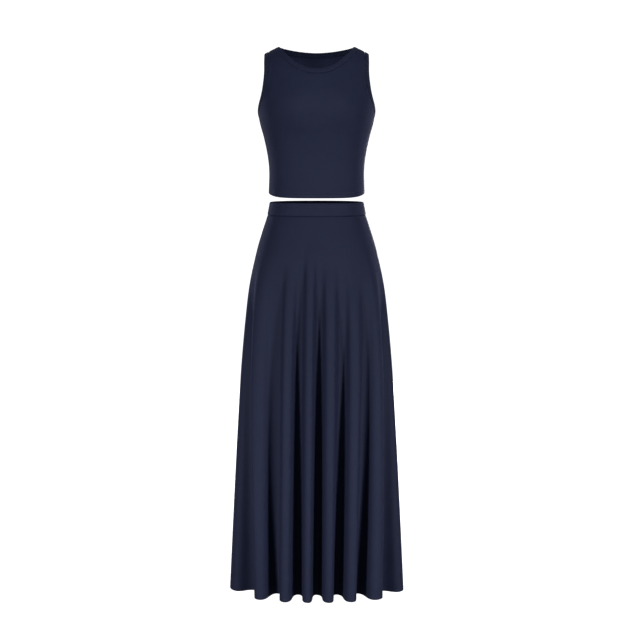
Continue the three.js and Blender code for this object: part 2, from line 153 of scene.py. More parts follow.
# %% Surface of the top
def waves(x, z, size, seed):
    """A smooth, irregular ripple between about -1 and 1 over features of that size."""
    random = np.random.default_rng(seed)
    total = np.zeros(np.broadcast(x, z).shape)
    for k in range(6):
        angle, phase = random.uniform(0, 2 * math.pi, 2)
        wave = 2 * math.pi / (size * random.uniform(0.8, 2.2))
        total = total + np.sin(wave * (x * math.cos(angle) + z * math.sin(angle)) + phase)
    return total / 3.2


def top_surface(turn, s):
    """The inner face of the top's cloth, in millimetres."""
    height, half_width, front, back, slope, hem = np.moveaxis(ring_at(TOP_RINGS, s), -1, 0)
    x, y = on_ring(turn, half_width, front, back)
    facing = np.cos(turn)
    dip = np.where(facing > 0, HEM_DIP["front"], HEM_DIP["back"])
    rise = SHOULDER["rise"] * (1 - (np.abs(x) / SHOULDER["tip"]) ** SHOULDER["power"])
    z = height + slope * rise - hem * dip * (1 - (1 - facing**2) ** 3)
    up = ((z - BUST["z"]) / BUST["tall"]) ** 2
    aside = [((x - side * BUST["x"]) / BUST["wide"]) ** 2 for side in (-1, 1)]
    mound = sum(np.exp(-(out + up) / 2) for out in aside)
    y = y - BUST["proud"] * np.maximum(facing, 0) * mound
    calm = np.clip((TOP_LAST - s) / 3, 0, 1)
    ripple = RIPPLE["height"] * calm * waves(x, z, RIPPLE["length"], 3)
    return np.stack([x, y - np.sign(facing) * ripple * np.abs(facing), z], -1)


def frame_of(surface, u, v):
    """Point, outward normal and the two tangents of a surface."""
    step = 1e-4
    along = (surface(u + step, v) - surface(u - step, v)) / (2 * step)
    up = (surface(u, v + step) - surface(u, v - step)) / (2 * step)
    normal = np.cross(along, up)
    normal /= np.linalg.norm(normal, axis=-1, keepdims=True)
    return surface(u, v), normal, along, up


def lifted(surface, u, v, lift):
    """Points a lift off the surface, in millimetres."""
    point, normal, _, _ = frame_of(surface, u, v)
    return point + normal * np.asarray(lift)[..., None]


front_centre = top_surface(np.array([0.0]), np.array([5.0]))[0]
print("chest at", np.round(front_centre), "mm")

# %% [markdown]
# ## Sheets of cloth
# A piece of cloth is a grid of points with a UV map in metres, which runs along the knit's
# rows and columns. Solidify gives it the thickness of the jersey, as a maker would do by
# hand, and the edges between smooth faces stay soft.


# %% Make a sheet from a grid
def distances(points, axis):
    """How far each point of a grid is along its line, from the line's first point."""
    steps = np.linalg.norm(np.diff(points, axis=axis), axis=-1)
    start = np.zeros_like(np.take(steps, [0], axis))
    return np.cumsum(np.concatenate([start, steps], axis), axis)


def grid_object(name, points, is_ring=False):
    """An object from a grid of points in millimetres: rows upwards, columns to the left."""
    loop = np.concatenate([points, points[:, :1]], 1) if is_ring else points
    rows, columns = loop.shape[:2]
    across = distances(loop, 1)
    across = across - across[:, columns // 2][:, None]
    uv = np.stack([across, distances(loop, 0)], -1) * MM
    row, column = np.meshgrid(np.arange(rows - 1), np.arange(columns - 1), indexing="ij")
    corners = [(row, column), (row, column + 1), (row + 1, column + 1), (row + 1, column)]
    width = points.shape[1]
    faces = np.stack([r * width + c % width for r, c in corners], -1).reshape(-1, 4)
    mesh = bpy.data.meshes.new(name)
    mesh.from_pydata((points * MM).reshape(-1, 3).tolist(), [], faces.tolist())
    layer = mesh.uv_layers.new(name="cloth")
    places = np.stack([uv[r, c] for r, c in corners], 2).reshape(-1, 2)
    layer.data.foreach_set("uv", places.ravel().astype(np.float32))
    return add_object(name, mesh)


def only(piece):
    """Selects one object and makes it active."""
    bpy.ops.object.select_all(action="DESELECT")
    piece.select_set(True)
    bpy.context.view_layer.objects.active = piece


def face_outwards(piece):
    """Turns every face of a closed mesh outwards."""
    only(piece)
    bpy.ops.object.mode_set(mode="EDIT")
    bpy.ops.mesh.select_all(action="SELECT")
    bpy.ops.mesh.normals_make_consistent(inside=False)
    bpy.ops.object.mode_set(mode="OBJECT")


CREASE = 50  # degrees: a sharper edge stays crisp
CLOTH = 1.0  # the jersey's thickness


def smooth(piece):
    """Soft shading, with the edges of the cloth kept crisp."""
    only(piece)
    bpy.ops.object.shade_smooth_by_angle(angle=math.radians(CREASE))


def thicken(piece, thickness=CLOTH):
    """Gives a sheet its thickness, half to each side."""
    only(piece)
    solid = piece.modifiers.new("thickness", "SOLIDIFY")
    solid.thickness = thickness * MM
    solid.offset = 0
    bpy.ops.object.modifier_apply(modifier=solid.name)
    smooth(piece)
    return piece


pieces = {}


def keep(piece, body, material_slot, *nodes):
    """Files a finished piece: the body it rides on, its slot and the nodes it stands for."""
    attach(piece, body)
    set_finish(piece, material_slot)
    if nodes:
        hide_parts(*nodes)
    pieces[piece.name] = piece
    print(piece.name, len(piece.data.polygons), "faces")


# %% [markdown]
# ## Cutting lines of the top
# The neck and the armholes are cut into that surface. Each cutting line is a rule, such as how
# far the neckline drops for each distance from the middle, and the ring at which it crosses a
# column of the cloth is found by halving. The bands are later sewn to the same lines.

# %% Cutting lines
NECK = {"half": 106, "front": (65, 2.2), "back": (15, 1.8)}
ARMHOLE = {"bottom": 212, "straight": 334, "power": 1.8, "half": 121}
SHOULDER_HALF = TOP_RINGS[TOP_LAST][1]


def turn_at(share):
    """The turn at which a ring is a share of its half width from the middle."""
    return math.atan2(share, (1 - share**SQUARENESS) ** (1 / SQUARENESS))


def crossing(rising, low, high):
    """Where a rising function of an array crosses zero."""
    for _ in range(40):
        middle = (low + high) / 2
        below = rising(middle) < 0
        low, high = np.where(below, middle, low), np.where(below, high, middle)
    return (low + high) / 2


ARM_TURN = turn_at(ARMHOLE["half"] / SHOULDER_HALF)
NECK_TURN = turn_at(NECK["half"] / SHOULDER_HALF)


def above_underarm(s):
    """Height above the bottom of the armholes."""
    return ring_at(TOP_RINGS, s)[..., 0] - ARMHOLE["bottom"]


ARM_BOTTOM = float(crossing(above_underarm, np.array(0.0), np.array(8.0)))


def armhole_turn(s):
    """The turn of the armhole's seam, which is the side seam below the underarm."""
    height = ring_at(TOP_RINGS, s)[..., 0]
    span = ARMHOLE["straight"] - ARMHOLE["bottom"]
    left = 1 - np.clip((height - ARMHOLE["bottom"]) / span, 0, 1)
    bend = 1 - (1 - left ** ARMHOLE["power"]) ** (1 / ARMHOLE["power"])
    return ARM_TURN + (math.pi / 2 - ARM_TURN) * np.where(s <= ARM_BOTTOM, 1, bend)


def neck_ring(turn, side):
    """How far up the rings the neck's seam is, at a turn from the centre of that side."""
    drop, power = NECK[side]
    neck_point = top_surface(np.array(NECK_TURN), np.array(float(TOP_LAST)))[2]
    at = turn if side == "front" else math.pi - turn

    def above(s):
        point = top_surface(at, s)
        share = np.minimum(np.abs(point[..., 0]) / NECK["half"], 1)
        return point[..., 2] - neck_point + drop * (1 - share**power)

    lowest, highest = np.full(np.shape(turn), ARM_BOTTOM), np.full(np.shape(turn), float(TOP_LAST))
    return np.where(np.abs(turn) >= NECK_TURN, TOP_LAST, crossing(above, lowest, highest))


seam_ends = [round(math.degrees(turn)) for turn in (NECK_TURN, ARM_TURN)]
print("shoulder seam between turns of", seam_ends, "degrees")

# %% [markdown]
# ## Front and back of the top
# Each panel is one sheet from the hem to the neck. At the hem the cloth turns up inside, so
# the grid starts inside, runs down, rounds the fold and goes up the outside. Along every seam
# the cloth dips inwards, because there it turns in to be sewn. That dip is what makes a seam
# show as a fine groove.

# %% Panels of the top
# distance above the hem and lift, round a turned-up hem from the inside to the outside
FOLD_ROWS = [(2.6, -0.6), (1.5, -0.6), (0.56, -0.6), (0.27, -0.52), (0.07, -0.3), (0, -0.05)]
FOLD_ROWS += [(0.07, 0.2), (0.27, 0.42), (0.56, 0.5), (1.5, 0.5)]
FACE_LIFT = 0.5  # the middle of the jersey, above the surface
SEAM_STEPS = np.array([0.3, 0.65, 1.1, 1.7, 2.6, 4.0, 5.5, 7.0])  # from a seam into the panel
GROOVE = {"depth": 1.5, "reach": 1.25}
RIDGE = {"height": 0.35, "at": 5.5, "reach": 1.5}
# millimetres in one step of the rings at the hem and near the shoulder, and half the panel
TOP_HEM_STEP, TOP_NECK_STEP, HALF_PANEL = 48, 18, 165
SIDE_GAP = 0.15  # between a panel and its side seam


def seam_dip(distance):
    """How far the cloth dips inwards near a seam, less the ridge of the cut edges inside."""
    groove = GROOVE["depth"] * np.exp(-((distance / GROOVE["reach"]) ** 2))
    ridge = RIDGE["height"] * np.exp(-(((distance - RIDGE["at"]) / RIDGE["reach"]) ** 2))
    return groove - ridge


def seamed(surface, u, s, lifts):
    """Points of a panel: each row at its own lift, dipping at both sides and at the top."""
    flat = surface(u, s)
    across, along = distances(flat, 1), distances(flat, 0)
    to_side = np.minimum(across, across[:, -1:] - across)
    to_top = along[-1:] - along
    return lifted(surface, u, s, lifts[:, None] - seam_dip(np.minimum(to_side, to_top)))


def from_hem(body_rows, hem_step):
    """Rows of a panel and their lifts: the turned-up hem first, then the body."""
    distance, lift = np.array(FOLD_ROWS).T
    face_lifts = np.full(len(body_rows), FACE_LIFT)
    return np.concatenate([distance / hem_step, body_rows]), np.concatenate([lift, face_lifts])


def spread_with_ends(low, high, count, ends):
    """Even values between two ends, with closer ones near both."""
    inside = np.linspace(low + 1.6 * ends[-1], high - 1.6 * ends[-1], count)
    return np.concatenate([[low], low + ends, inside, (high - ends)[::-1], [high]])


def top_panel(side):
    """Front or back of the top: columns spread from side seam to side seam, rows up to the neck."""
    shares = spread_with_ends(-1, 1, 93, SEAM_STEPS / HALF_PANEL)
    above_underarm_rows = TOP_LAST - ARM_BOTTOM
    body_rows = np.concatenate([
        np.linspace(0.07, ARM_BOTTOM, 52)[:-1],
        ARM_BOTTOM + (above_underarm_rows - 0.2) * np.linspace(0, 1, 74),
        TOP_LAST - SEAM_STEPS[::-1] / TOP_NECK_STEP,
        [TOP_LAST],
    ])
    rings, lifts = from_hem(body_rows, TOP_HEM_STEP)
    share, ring = np.meshgrid(shares, rings)
    edge = armhole_turn(ring) - SIDE_GAP / SHOULDER_HALF
    # the columns lean in towards the neck well before the armhole cuts into them
    up = np.clip((ring - ARM_BOTTOM + 1.5) / (above_underarm_rows + 1.5), 0, 1)
    middle = math.pi / 2 + (ARM_TURN - math.pi / 2) * up * up * (3 - 2 * up)
    turn = share * (edge + (middle - edge) * (1 - share**2) / 2)
    squeeze = (neck_ring(shares * ARM_TURN, side) - ARM_BOTTOM) / above_underarm_rows
    s = np.where(ring < ARM_BOTTOM, ring, ARM_BOTTOM + (ring - ARM_BOTTOM) * squeeze[None])
    u = turn if side == "front" else math.pi + turn
    piece = grid_object(f"top_{side}_cloth", seamed(top_surface, u, s, lifts))
    keep(thicken(piece), "top", "jersey", f"top_{side}_panel")


for panel_side in ("front", "back"):
    top_panel(panel_side)

# %% [markdown]
# ## Bands, seams and threads
# A band is sewn to a cutting line and lies on the same body as the panels. So from each point
# of the line the surface is walked, away from the panel, in small steps, and the band's section
# is hung on that walk. A neckband is a strip of knit folded double: it stands a little proud,
# rounds over at its free edge, and dips where it meets the seam.


# %% Walk on a surface and sweep a section
PACE = 1.5  # the longest straight step, in millimetres


def walk(surface, u, v, heading, stops):
    """Places (u, v) at each distance in stops from the start, straight over the surface."""
    u, v, heading, gone, found = u.copy(), v.copy(), heading.copy(), 0.0, []
    for stop in stops:
        paces = max(1, math.ceil(abs(stop - gone) / PACE))
        pace = (stop - gone) / paces
        for _ in range(paces):
            _, normal, along, up = frame_of(surface, u, v)
            heading -= normal * np.sum(heading * normal, -1, keepdims=True)
            heading /= np.linalg.norm(heading, axis=-1, keepdims=True)
            aa, ab, bb = (np.sum(p * q, -1) for p, q in ((along, along), (along, up), (up, up)))
            ha, hb = (np.sum(heading * p, -1) * pace for p in (along, up))
            det = aa * bb - ab * ab
            u, v = u + (ha * bb - hb * ab) / det, v + (hb * aa - ha * ab) / det
        gone = stop
        found.append((u, v))
    return found


def stations_of(surface, line, is_ring=True):
    """Places and the directions across a seam line, to the left of the way along it."""
    u, v = line
    points = surface(u, v)
    ahead, behind = np.roll(points, -1, 0), np.roll(points, 1, 0)
    if not is_ring:
        ahead[-1], behind[0] = points[-1], points[0]
    normal = frame_of(surface, u, v)[1]
    across = np.cross(normal, ahead - behind)
    return u, v, across / np.linalg.norm(across, axis=-1, keepdims=True)


def sweep(name, surface, stations, section, is_ring=True, lift_more=None):
    """A closed section, a list of (distance across, lift), along the stations of a seam line."""
    u, v, across = stations
    order = sorted(set(d for d, _ in section))
    ahead = [d for d in order if d >= 0]
    behind = [d for d in reversed(order) if d < 0]
    places = dict(zip(ahead, walk(surface, u, v, across, ahead)))
    places.update(zip(behind, walk(surface, u, v, across, behind)))
    more = np.zeros(len(u)) if lift_more is None else lift_more
    rows = [lifted(surface, *places[d], lift + more) for d, lift in section]
    rows.append(rows[0])
    piece = grid_object(name, np.array(rows)[::-1], is_ring)
    only(piece)
    bpy.ops.object.mode_set(mode="EDIT")
    bpy.ops.mesh.select_all(action="SELECT")
    bpy.ops.mesh.remove_doubles(threshold=1e-6)
    if not is_ring:
        bpy.ops.mesh.fill_holes(sides=0)
    bpy.ops.mesh.normals_make_consistent(inside=False)
    bpy.ops.object.mode_set(mode="OBJECT")
    smooth(piece)
    return piece


def evenly(surface, u, v, count):
    """Resamples an open line of places at even distances."""
    gone = distances(surface(u, v)[None], 1)[0]
    at = np.linspace(0, gone[-1], count)
    return np.interp(at, gone, u), np.interp(at, gone, v)


def joined_line(surface, first, second, count):
    """Two open lines that meet at both ends, as one ring of even places."""
    parts = [evenly(surface, *line, count) for line in (first, second)]
    return tuple(np.concatenate([parts[0][k][:-1], parts[1][k][:-1]]) for k in (0, 1))


# %% Neckband and armhole bands
NECKBAND, ARMHOLE_BAND = 13.5, 12.5  # finished widths
PUCKER = {"height": 0.07, "length": 9}
fine = np.sin(np.linspace(-math.pi / 2, math.pi / 2, 400))
neck_turns = NECK_TURN * fine
NECK_LINE = joined_line(
    top_surface,
    (neck_turns, neck_ring(neck_turns, "front")),
    (math.pi + neck_turns, neck_ring(neck_turns, "back")),
    91,
)
arm_rings = ARM_BOTTOM + (TOP_LAST - ARM_BOTTOM) * (fine + 1) / 2
ARM_LINE = joined_line(
    top_surface,
    (math.pi - armhole_turn(arm_rings), arm_rings),
    (armhole_turn(arm_rings[::-1]), arm_rings[::-1]),
    71,
)


def band_section(width):
    """A strip folded double, from the seam to the folded edge and back inside."""
    outside = [(0.1, -0.6), (0.3, 0.2), (0.7, 0.85), (1.4, 1.3), (2.6, 1.55), (width / 2, 1.7)]
    edge = [(width - 2.4, 1.5), (width - 1.1, 1.15), (width - 0.35, 0.65), (width, 0.18)]
    inside = [(width - 0.35, -0.3), (width - 1.1, -0.65), (width - 2.4, -0.85)]
    inside += [(2.6, -0.9), (0.1, -0.9)]
    return outside + edge + inside


neck_stations = stations_of(top_surface, NECK_LINE)
arm_stations = stations_of(top_surface, ARM_LINE)
along_neck = np.arange(len(NECK_LINE[0])) * 3.0
pucker = PUCKER["height"] * waves(along_neck, np.zeros(len(along_neck)), PUCKER["length"], 11)
keep(
    sweep("neck_rib", top_surface, neck_stations, band_section(NECKBAND), lift_more=pucker),
    "top", "rib", "neckband",
)


def mirrored(piece, name):
    """A copy of a piece on the wearer's right, with its own mesh."""
    copy = piece.copy()
    copy.data = piece.data.copy()
    copy.name = copy.data.name = name
    bpy.context.scene.collection.objects.link(copy)
    only(copy)
    bpy.ops.transform.mirror(constraint_axis=(True, False, False), center_override=(0, 0, 0))
    bpy.ops.object.transform_apply(location=True, rotation=True, scale=True)
    face_outwards(copy)
    return copy


left_band = sweep("left_armhole_rib", top_surface, arm_stations, band_section(ARMHOLE_BAND))
right_band = mirrored(left_band, "right_armhole_rib")
keep(left_band, "top", "rib", "left_armhole_band")
keep(right_band, "top", "rib", "right_armhole_band")

# %% [markdown]
# Inside the top there is more to see when the hem lifts: the turned-up hem, and the cut edges
# of the seams, which an overlocking machine has wrapped in thread. The wrapping is what makes
# such a seam look ribbed, so the strip gets a fine ridge for each stitch.

# %% Turned-up hem and seam allowances of the top
TOP_HEM = 14
HEM_COLUMNS = 240
ALLOWANCE = 7
ALLOWANCE_THICK = 1.4
THREAD_RIDGE = 0.14


def side_columns(count):
    """Even turns all round, from the wearer's right."""
    return np.linspace(-math.pi / 2, 1.5 * math.pi, count, endpoint=False)


def turned_up(name, surface, line, width):
    """The cloth turned up inside a hem, from just above the fold to its cut edge."""
    section = [(2.4, -0.12), (width - 0.6, -0.12), (width, -0.4), (width, -0.9)]
    section += [(width - 0.6, -1.15), (2.4, -1.08)]
    return sweep(name, surface, stations_of(surface, line), section)


hem_line = (side_columns(HEM_COLUMNS), np.zeros(HEM_COLUMNS))
keep(
    turned_up("top_hem_inside", top_surface, hem_line, TOP_HEM),
    "top", "jersey", "top_hem_turnup",
)


def overlocked(name, surface, line, across, width, clear=0.5, thick=ALLOWANCE_THICK, is_ring=False):
    """Cut edges wrapped in thread: a ribbed strip inside the cloth, on one side of a seam line."""
    u, v = line
    points, normal, _, _ = frame_of(surface, u, v)
    way = np.gradient(points, axis=0)
    if is_ring:
        way = np.roll(points, -1, 0) - np.roll(points, 1, 0)
    heading = np.cross(normal, way)
    heading = heading / np.linalg.norm(heading, axis=-1, keepdims=True)
    heading *= np.sign(np.sum(heading * np.asarray(across), -1, keepdims=True))
    stitch = THREAD_RIDGE * np.where(np.arange(len(v)) % 2 == 0, 1, -1)
    middle = -clear - thick / 2
    outer = [(0, -clear), (width * 0.45, -clear), (width - 0.8, -clear), (width, middle)]
    inner = [(width - 0.8, -clear - thick), (width * 0.45, -clear - thick), (0, -clear - thick)]
    return sweep(name, surface, (u, v, heading), outer + inner, is_ring, lift_more=stitch)


def rows_at(surface, u, low, high, pitch):
    """Even steps of about a pitch up one column of a surface."""
    column, rows = np.full(1500, float(u)), np.linspace(low, high, 1500)
    count = int(distances(surface(column, rows)[None], 1)[0, -1] / pitch)
    return evenly(surface, column, rows, count)


left_seam = overlocked(
    "top_left_seam_edge", top_surface,
    rows_at(top_surface, math.pi / 2, 0.33, ARM_BOTTOM - 0.05, 1.3), (0, 1, 0), ALLOWANCE,
)
right_seam = mirrored(left_seam, "top_right_seam_edge")
shoulder_turns = np.linspace(math.pi - NECK_TURN - 0.01, math.pi - ARM_TURN + 0.01, 16)
left_shoulder = overlocked(
    "top_left_shoulder_edge", top_surface,
    (shoulder_turns, np.full(16, float(TOP_LAST))), (0, 1, 0), ALLOWANCE - 1,
)
right_shoulder = mirrored(left_shoulder, "top_right_shoulder_edge")
keep(left_seam, "top", "jersey", "top_left_side_seam")
keep(right_seam, "top", "jersey", "top_right_side_seam")
keep(left_shoulder, "top", "jersey", "top_left_shoulder_seam")
keep(right_shoulder, "top", "jersey", "top_right_shoulder_seam")

# %% [markdown]
# ## The skirt's folds
# The skirt is smooth over the hips. Below them the flared cloth has more width than it needs,
# and gravity gathers that width into cones, which start at different heights and deepen all
# the way down. Each row of the table is a ridge or a valley: where it points at the hip and
# at the hem, how far it stands out or in at the hem, and where it begins. Between a ridge and
# a valley the cloth swings over smoothly, and at the hem it bulges past itself a little, which
# gives the ridges their crisp sides.

# %% Surface of the skirt
SKIRT_RINGS = [
    [-1016, 204, 112, 124],
    [-800, 198, 113, 125],
    [-600, 192, 114, 126],
    [-430, 186, 115, 126],
    [-300, 178, 114, 124],
    [-210, 169.5, 112, 121],
    [-130, 154, 108, 113],
    [-80, 139.5, 103, 104],
    [-33, 124.5, 96, 92],
    [0, 118, 93, 88],
]
WAIST_SEAM = 8
HEM_HEIGHT = SKIRT_RINGS[0][0]
HIPS = -120
# powers by which a fold deepens in front and at the sides, its soft start, and its bulge
FRONT_GROWTH, SIDE_GROWTH, FOLD_SOFT, FOLD_ROUND = 0.5, 0.85, 0.07, 0.85
LEFT_DROP = 6  # how much lower the hem hangs at the wearer's left
RIGHT_SEAM, LEFT_SEAM = 0.5, 15.5
# turn at the hip, turn at the hem, out at the hem, height where it starts
FOLDS = np.array([
    [-98, -100, -26, -120], [-84, -79, 28, -120], [-68, -51, -30, -170], [-57, -40, 32, -135],
    [-31, -31, -32, -135], [-23, -21.5, 32, -175], [-13, -14.3, -32, -135], [-5.5, -6, 32, -105],
    [3, -0.6, -32, -135], [11, 9, 32, -160], [23, 14.8, -32, -140], [32, 24, 32, -190],
    [44, 31.7, -32, -190], [56, 41.5, 32, -135], [70, 57, -30, -160], [84, 79, 28, -120],
    [98, 101, -26, -120], [111, 112, 30, -150], [122, 123, -31, -120], [133, 134, 32, -140],
    [145, 145, -31, -110], [156, 157, 31, -140], [168, 168.5, -32, -120], [179, 179, 32, -150],
    [190, 191, -31, -110], [202, 202, 31, -140], [214, 213.5, -32, -150], [226, 225, 31, -120],
    [238, 237, -31, -140], [250, 248, 30, -120],
])


def skirt_surface(fold, s):
    """The inner face of the skirt's cloth: fold counts the rows of the table round the skirt."""
    fold, s = np.broadcast_arrays(fold, s)
    height, half_width, front, back = np.moveaxis(ring_at(SKIRT_RINGS, s), -1, 0)
    lap = np.floor(fold / len(FOLDS))
    at = fold - lap * len(FOLDS)
    i = np.floor(at).astype(int) % len(FOLDS)
    f = at - np.floor(at)
    near, following = FOLDS[i], FOLDS[(i + 1) % len(FOLDS)]
    wrap = np.where(i + 1 < len(FOLDS), 0, 360)

    def depth(row):
        left = 1 - np.clip((height - HEM_HEIGHT) / (row[..., 3] - HEM_HEIGHT), 0, 1)
        growth = FRONT_GROWTH + (SIDE_GROWTH - FRONT_GROWTH) * np.sin(np.radians(row[..., 1])) ** 2
        return (left**2 / (left + FOLD_SOFT)) ** growth

    down = np.clip((height - HEM_HEIGHT) / (HIPS - HEM_HEIGHT), 0, 1)

    def angle(row):
        return row[..., 1] + (row[..., 0] - row[..., 1]) * down

    near_depth, next_depth = depth(near), depth(following)
    deep = near_depth + (next_depth - near_depth) * f
    spread = f + FOLD_ROUND * np.sqrt(deep) * np.sin(2 * math.pi * f) / (2 * math.pi)
    start, end = angle(near), angle(following) + wrap
    turn = np.radians(start + (end - start) * spread + 360 * lap)
    ease = (1 - np.cos(math.pi * f)) / 2
    out = near[..., 2] * near_depth * (1 - ease) + following[..., 2] * next_depth * ease
    x, y = on_ring(turn, half_width, front, back)
    x2, y2 = on_ring(turn + 1e-3, half_width, front, back)
    away = np.stack([y2 - y, x - x2], -1)
    away = away / np.linalg.norm(away, axis=-1, keepdims=True)
    x, y = x + away[..., 0] * out, y + away[..., 1] * out
    drop = LEFT_DROP * ((1 - down) * np.maximum(0, np.sin(turn)) ** 2) ** 2
    return np.stack([x, y, height - drop], -1)


ring_steps = np.linspace(0, WAIST_SEAM + 1, 4000)
ring_heights = ring_at(SKIRT_RINGS, ring_steps)[:, 0]


def ring_of(height):
    """How far up the rings a height is."""
    return np.interp(height, ring_heights, ring_steps)


whole_hem = skirt_surface(np.linspace(0, len(FOLDS), 3000), np.zeros(3000))
hem_round = distances(whole_hem[None], 1)[0, -1]
print("round the skirt's hem:", round(hem_round), "mm")

# %% Panels of the skirt
SKIRT_HEM_STEP = 213  # millimetres in one step of the rings at the hem
SEAM_SHARES = np.array([0, 0.006, 0.014, 0.03])  # of a fold, from a side seam
WAIST_HEIGHT = SKIRT_RINGS[WAIST_SEAM][0]


def skirt_panel(name, low, high, node):
    """One panel of the skirt: inside the hem, round its fold, and up to the waist seam."""
    inner_folds = np.linspace(low, high, 226)[1:-1]
    folds = np.concatenate([low + SEAM_SHARES, inner_folds, high - SEAM_SHARES[::-1]])
    body = np.concatenate([
        HEM_HEIGHT + np.array([3, 5, 7, 8.2, 9.5, 12]),
        np.linspace(HEM_HEIGHT + 18, WAIST_HEIGHT - 6, 112),
        WAIST_HEIGHT - np.array([4, 2.4, 1.4, 0.7, 0.1]),
    ])
    rings, lifts = from_hem(ring_of(body), SKIRT_HEM_STEP)
    piece = grid_object(name, seamed(skirt_surface, *np.meshgrid(folds, rings), lifts))
    keep(thicken(piece), "skirt", "jersey", node)


skirt_panel("skirt_front_cloth", RIGHT_SEAM, LEFT_SEAM, "skirt_front_panel")
skirt_panel("skirt_back_cloth", LEFT_SEAM, len(FOLDS) + RIGHT_SEAM, "skirt_back_panel")

# %% [markdown]
# ## Waistband
# A separate strip of the jersey is folded over a wide elastic and sewn on. The elastic is a
# little shorter than the cloth, so the band is covered in faint upright ripples, and a row of
# stitches below its top edge holds the elastic from rolling.

# %% Waistband and its elastic
WAISTBAND = 33
WAIST_STITCH = 22.5  # above the waist seam
ELASTIC_RIPPLE = {"height": 0.16, "length": 7.5}
UP = [0.0, 0, 1]


def waist_surface(turn, s):
    """The skirt's rings without any folds."""
    height, half_width, front, back = np.moveaxis(ring_at(SKIRT_RINGS, s), -1, 0)
    return np.stack([*on_ring(turn, half_width, front, back), height], -1)


def band_of_waist(name, low, high, node):
    """Half of the waistband, hollow and open below: its outside, its inside, then the hollow."""
    count = 181
    gap = 0.1 / SKIRT_RINGS[WAIST_SEAM][1]
    turns = np.linspace(low + gap, high - gap, 2000)
    line = evenly(waist_surface, turns, np.full(2000, float(WAIST_SEAM)), count)
    stations = (*line, np.tile(UP, (count, 1)))
    rise = [0, 0.5, 1.4, 3, 7, 12, 17, 20.5, 21.8, 22.5, 23.2, 24.5, 27.5, 30, 31.6, 32.6]
    wall = [1.0, 1.55, 1.95, 2.15, 2.3, 2.38, 2.34, 2.2, 2.0, 1.85, 2.0, 2.15, 2.25, 2.05, 1.6, 0.9]
    outside = list(zip(rise, wall)) + [(WAISTBAND, 0.2)]
    inside = [(32.6, -0.7), (31.4, -1.25), (29, -1.55), (22.5, -1.7), (12, -1.8), (0, -1.8)]
    hollow = [(0, -0.8), (29.5, -0.75), (31, 0.2), (29.5, 1.15), (0, 0.9)]
    ripple = waves(np.arange(count) * 2.1, np.zeros(count), ELASTIC_RIPPLE["length"], 21)
    ripple *= ELASTIC_RIPPLE["height"]
    piece = sweep(name, waist_surface, stations, outside + inside + hollow, False, lift_more=ripple)
    keep(piece, "skirt", "jersey", node)


band_of_waist("waist_front_cloth", -math.pi / 2, math.pi / 2, "waistband_front")
band_of_waist("waist_back_cloth", math.pi / 2, 1.5 * math.pi, "waistband_back")

elastic_turns = side_columns(400)
elastic_stations = (elastic_turns, np.full(400, float(WAIST_SEAM)), np.tile(UP, (400, 1)))
elastic_section = [(2, 0.5), (2, -0.3), (6, -0.35), (28, -0.35), (29, -0.3), (29, 0.5)]
keep(
    sweep("waist_elastic_braid", waist_surface, elastic_stations, elastic_section),
    "skirt", "elastic", "waistband_elastic",
)

# %% Inside the skirt
SKIRT_HEM = 9
WAIST_SEAM_THICK = 1.8
SIDE_SEAM_CLEAR = 0.9


def round_skirt(s, count):
    """Even places round one ring of the skirt, from the right side seam."""
    folds = np.linspace(RIGHT_SEAM, RIGHT_SEAM + len(FOLDS), 6000)
    even = evenly(skirt_surface, folds, np.full(6000, float(s)), count + 1)
    return even[0][:-1], even[1][:-1]


keep(
    turned_up("skirt_hem_inside", skirt_surface, round_skirt(0, 480), SKIRT_HEM),
    "skirt", "jersey", "skirt_hem_turnup",
)
keep(
    overlocked(
        "waist_seam_edge", skirt_surface, round_skirt(WAIST_SEAM, 500), (0, 0, -1),
        ALLOWANCE, thick=WAIST_SEAM_THICK, is_ring=True,
    ),
    "skirt", "jersey", "waist_seam",
)
for side_name, fold in (("left", LEFT_SEAM), ("right", RIGHT_SEAM)):
    seam_rows = rows_at(skirt_surface, fold, 0.055, WAIST_SEAM - 0.2, 1.6)
    keep(
        overlocked(
            f"skirt_{side_name}_seam_edge", skirt_surface, seam_rows, (0, 1, 0),
            ALLOWANCE, SIDE_SEAM_CLEAR,
        ),
        "skirt", "jersey", f"skirt_{side_name}_side_seam",
    )

# %% [markdown]
# ## Care labels
# Each garment has one blank satin ribbon, sewn in by one edge. A ribbon is never flat: it
# curls a little across and waves along, so its sheet is bent by a formula before it gets its
# thickness.

# %% Care labels
RIBBON_THICK = 0.35


def ribbon(name, corner, across, down, curl, body, node):
    """A blank ribbon, held along its first edge."""
    a, d = np.meshgrid(np.linspace(0, 1, 15), np.linspace(0, 1, 21))
    across, down = np.array(across, float), np.array(down, float)
    face = np.cross(across, down)
    face /= np.linalg.norm(face)
    bend = curl(a, d)
    points = np.array(corner) + a[..., None] * across + d[..., None] * down + bend[..., None] * face
    piece = grid_object(name, points[::-1])
    keep(thicken(piece, RIBBON_THICK), body, "label", node)


ribbon(
    "skirt_ribbon", (16, 88, -41), (-32, 0, 0), (0, 0, -46),
    lambda a, d: -1.6 * d**2 + 1.3 * d * (2 * a - 1) ** 2,
    "skirt_label", "skirt_care_label",
)
lean = math.radians(22)
top_ribbon_wide = 24
seam_side = top_surface(np.array(math.pi / 2), np.array(1.2))
ribbon(
    "top_ribbon", (seam_side[0] - ALLOWANCE_THICK - 2, 0, seam_side[2] + 17),
    (-top_ribbon_wide * math.sin(lean), top_ribbon_wide * math.cos(lean), 0), (0, 0, -34),
    lambda a, d: 1.4 * a**2 + 0.8 * a * np.sin(3 * d),
    "top_label", "top_care_label",
)

# %% [markdown]
# ## Stitches
# Topstitching is real thread, so each stitch is a small spindle of thread that lies on the
# cloth and dives in at both ends. One spindle is shaped, then copied along a line on the
# surface, a stitch length apart. Where a machine sews, it also pulls the cloth in slightly.

